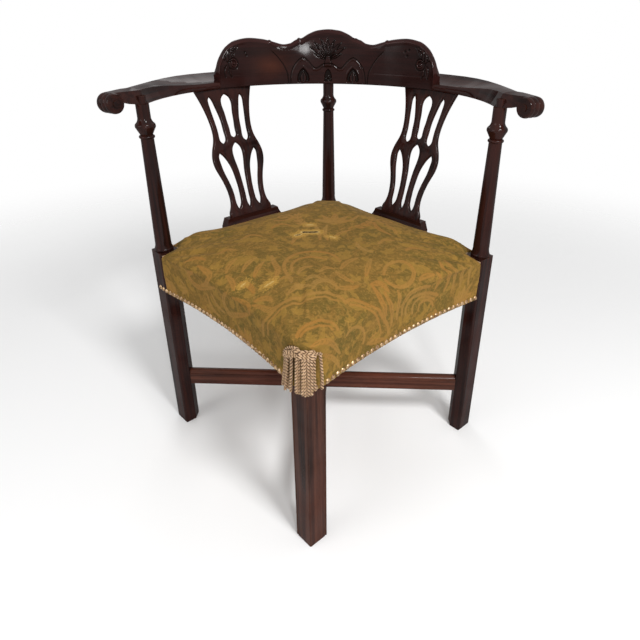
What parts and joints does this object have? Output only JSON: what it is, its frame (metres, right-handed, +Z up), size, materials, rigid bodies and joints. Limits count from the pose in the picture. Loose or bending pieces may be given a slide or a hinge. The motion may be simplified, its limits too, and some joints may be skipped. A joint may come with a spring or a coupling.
{
  "type": "corner chair",
  "caption": "Upholstered corner chair: diamond-set square seat, crossed stretchers, turned posts, pierced splats, curved arms and a shaped crest rail.",
  "frame": {"origin": "on the floor under the middle of the seat", "axes": "+Z up, -Y towards the front corner, +X to the sitter's left, which is right in the picture"},
  "size_m": [0.7512, 0.7101, 0.813],
  "materials": {
    "mahogany": "dark polished mahogany",
    "beech": "plain sawn beech",
    "steel": "plain steel screw",
    "webbing": "woven jute",
    "hessian": "coarse hessian",
    "horsehair": "curled horsehair",
    "damask": "worn gold and olive damask",
    "brass": "aged brass",
    "bullion": "twisted cream cord"
  },
  "bodies": {
    "root": {"front_leg": "mahogany", "left_leg": "mahogany", "right_leg": "mahogany", "back_leg": "mahogany", "side_to_side_stretcher": "mahogany", "front_to_back_stretcher": "mahogany", "left_shoe": "mahogany", "right_shoe": "mahogany", "left_splat": "mahogany", "right_splat": "mahogany", "left_arm": "mahogany", "right_arm": "mahogany", "crest_rail": "mahogany", "back_left_rail": "beech", "back_right_rail": "beech", "front_left_rail": "beech", "front_right_rail": "beech", "front_corner_block": "beech", "left_corner_block": "beech", "right_corner_block": "beech", "back_corner_block": "beech", "corner_block_screws": "steel", "crest_screws": "steel", "seat_webbing": "webbing", "seat_hessian": "hessian", "seat_stuffing": "horsehair", "seat_cover": "damask", "nails_back_left": "brass", "nails_back_right": "brass", "nails_front_left": "brass", "nails_front_right": "brass", "tassel_strands": "bullion", "tassel_knot": "bullion"}
  },
  "joints": []
}
